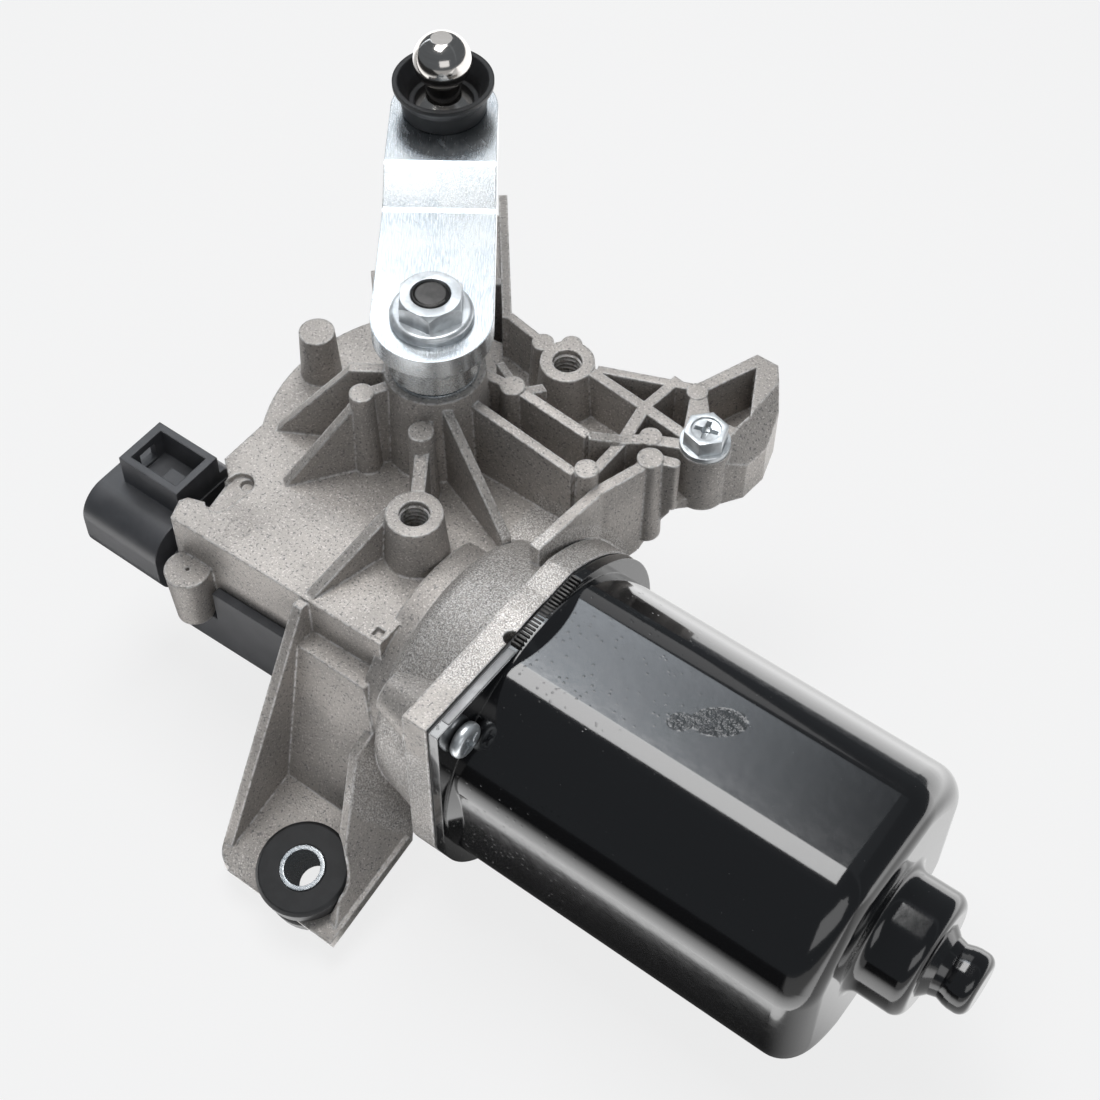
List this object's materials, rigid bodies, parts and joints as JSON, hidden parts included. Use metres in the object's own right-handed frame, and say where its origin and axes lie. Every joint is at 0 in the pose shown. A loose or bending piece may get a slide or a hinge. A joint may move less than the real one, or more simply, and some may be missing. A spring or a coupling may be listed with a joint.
{
  "type": "wiper motor",
  "caption": "Wiper motor: a canned motor drives a worm gearbox with a ribbed cast case, a stepped crank arm with ball stud, grommeted feet and a plug socket.",
  "frame": {"origin": "midway between the two threaded bosses of the gear case, in the plane of their tops", "axes": "+Z out of the threaded bosses and along the output shaft towards the crank arm, +X along the motor towards the can's closed end, +Y from the near threaded boss to the far one"},
  "size_m": [0.2251, 0.1713, 0.1327],
  "materials": {
    "cast_aluminium": "sand-rough die-cast",
    "zinc_steel": "bright zinc plated",
    "bright_steel": "polished",
    "bearing_steel": "ground",
    "core_steel": "stacked sheet",
    "black_paint": "glossy black",
    "black_plastic": "satin moulded",
    "natural_plastic": "moulded",
    "black_rubber": "matt",
    "bronze": "sintered",
    "tinned_brass": "tinned strip",
    "copper": "lacquered wire",
    "ferrite": "sintered ferrite",
    "carbon": "pressed carbon"
  },
  "bodies": {
    "housing": {"gear_case": "cast_aluminium", "gear_cover": "black_plastic", "cover_gasket": "black_rubber", "cover_screws": "zinc_steel", "terminals": "tinned_brass", "contact_fingers": "tinned_brass", "shaft_bushes": "bronze", "shaft_seal": "black_rubber", "tower_washer": "zinc_steel", "motor_can": "black_paint", "joint_seal": "black_rubber", "can_screws": "zinc_steel", "field_magnets": "ferrite", "front_bearing": "bearing_steel", "rear_bearing": "bearing_steel", "end_bush": "bronze", "thrust_pad": "natural_plastic", "brush_holder": "black_plastic", "brushes": "carbon", "brush_springs": "bearing_steel", "noise_chokes": "copper", "earth_screw": "zinc_steel", "grommets": "black_rubber", "grommet_sleeves": "zinc_steel"},
    "armature": {"armature_shaft": "bearing_steel", "armature_core": "core_steel", "windings": "copper", "commutator": "copper"},
    "output": {"output_shaft": "zinc_steel", "worm_wheel": "natural_plastic", "hub_washer": "zinc_steel", "shaft_clip": "bearing_steel", "park_disc": "tinned_brass", "arm_spacer": "zinc_steel", "crank_arm": "zinc_steel", "crank_nut": "zinc_steel", "ball_stud": "bright_steel", "ball_boot": "black_rubber"}
  },
  "joints": [
    {"name": "output_turn", "type": "hinge", "parent": "housing", "child": "output", "pos_m": [-0.0157, 0, 0], "axis": [0, 0, 1], "continuous": true},
    {"name": "armature_spin", "type": "hinge", "parent": "housing", "child": "armature", "pos_m": [-0.0157, -0.0311, -0.037], "axis": [1, 0, 0], "continuous": true}
  ],
  "couplings": [
    {"joint": "armature_spin", "follows": "output_turn", "ratio": -44}
  ]
}
